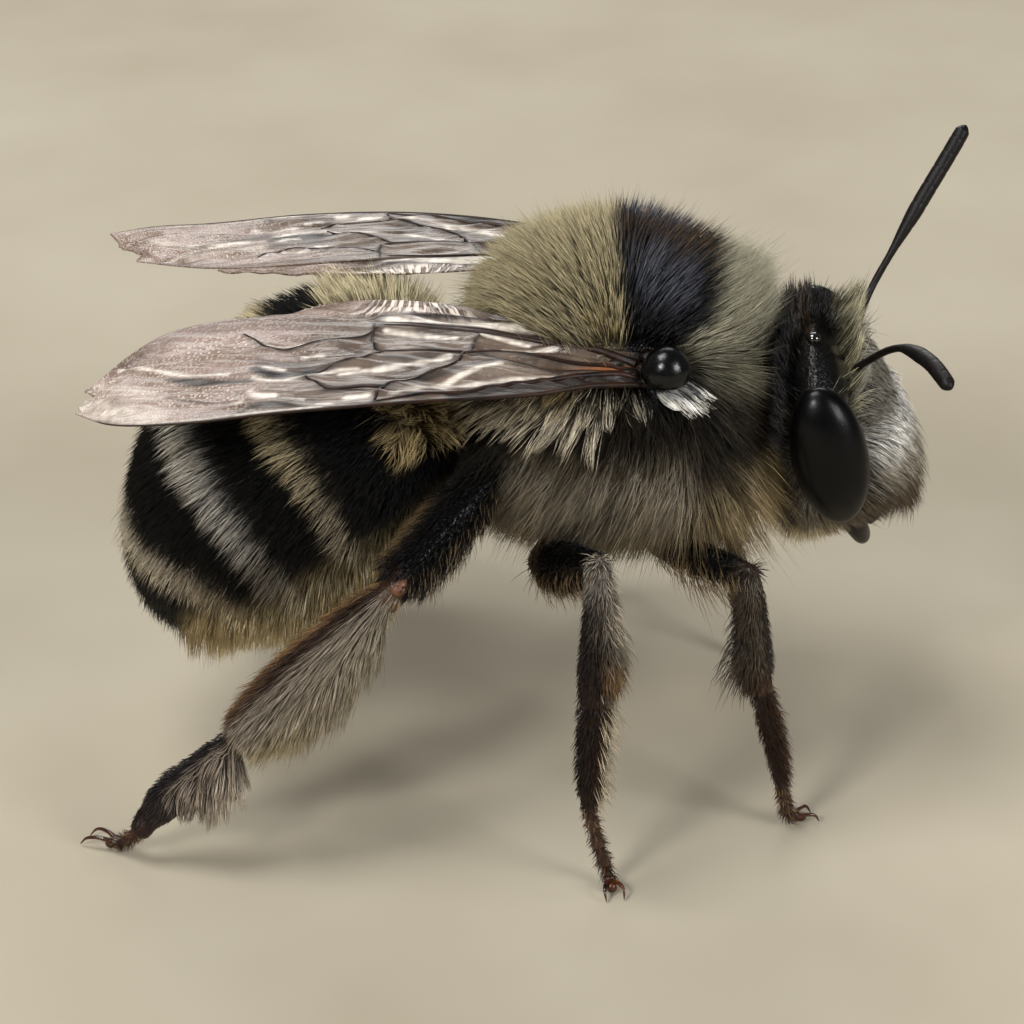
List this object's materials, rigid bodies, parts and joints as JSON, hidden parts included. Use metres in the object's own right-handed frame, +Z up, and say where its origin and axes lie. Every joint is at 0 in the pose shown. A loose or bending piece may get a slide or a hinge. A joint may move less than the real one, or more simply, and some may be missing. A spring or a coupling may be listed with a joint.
{
  "type": "digger bee",
  "caption": "Standing black and white banded digger bee with folded wings, hairy hind legs and raised feelers, a still model of a live insect.",
  "frame": {"origin": "on the floor under the middle of the whole bee", "axes": "+Z up, +X towards the head, +Y the bee's left"},
  "size_m": [0.0159, 0.0114, 0.0113],
  "materials": {
    "coat_thorax": "dense soft fur, cream and grey with a black band between the wings",
    "coat_head": "cream to white fur on the face, black behind the crown",
    "coat_abdomen": "short lying fur in black and white rings",
    "coat_leg": "black and brown bristly fur",
    "scopa": "long cream pollen brush",
    "foot": "reddish brown horny toe and claws",
    "cuticle": "polished black shell",
    "feeler": "fine ringed dull black",
    "eye": "glossy black with fine facets and an olive lower sheen",
    "wing": "smoky clear membrane with brown veins"
  },
  "bodies": {
    "root": {"abdomen_1": "coat_abdomen", "abdomen_2": "coat_abdomen", "abdomen_3": "coat_abdomen", "abdomen_4": "coat_abdomen", "abdomen_5": "coat_abdomen", "abdomen_6": "coat_abdomen", "antenna_left": "feeler", "antenna_right": "feeler", "eye_left": "eye", "eye_right": "eye", "foreleg_left_basitarsus": "coat_leg", "foreleg_left_femur": "coat_leg", "foreleg_left_tarsus": "foot", "foreleg_left_tibia": "coat_leg", "foreleg_right_basitarsus": "coat_leg", "foreleg_right_femur": "coat_leg", "foreleg_right_tarsus": "foot", "foreleg_right_tibia": "coat_leg", "forewing_left": "wing", "forewing_right": "wing", "head": "coat_head", "hindleg_left_basitarsus": "scopa", "hindleg_left_femur": "coat_leg", "hindleg_left_tarsus": "foot", "hindleg_left_tibia": "scopa", "hindleg_right_basitarsus": "scopa", "hindleg_right_femur": "coat_leg", "hindleg_right_tarsus": "foot", "hindleg_right_tibia": "scopa", "hindwing_left": "wing", "hindwing_right": "wing", "labrum": "cuticle", "mandible_left": "cuticle", "mandible_right": "cuticle", "midleg_left_basitarsus": "coat_leg", "midleg_left_femur": "coat_leg", "midleg_left_tarsus": "foot", "midleg_left_tibia": "coat_leg", "midleg_right_basitarsus": "coat_leg", "midleg_right_femur": "coat_leg", "midleg_right_tarsus": "foot", "midleg_right_tibia": "coat_leg", "tegula_left": "cuticle", "tegula_right": "cuticle", "thorax": "coat_thorax"}
  },
  "joints": []
}
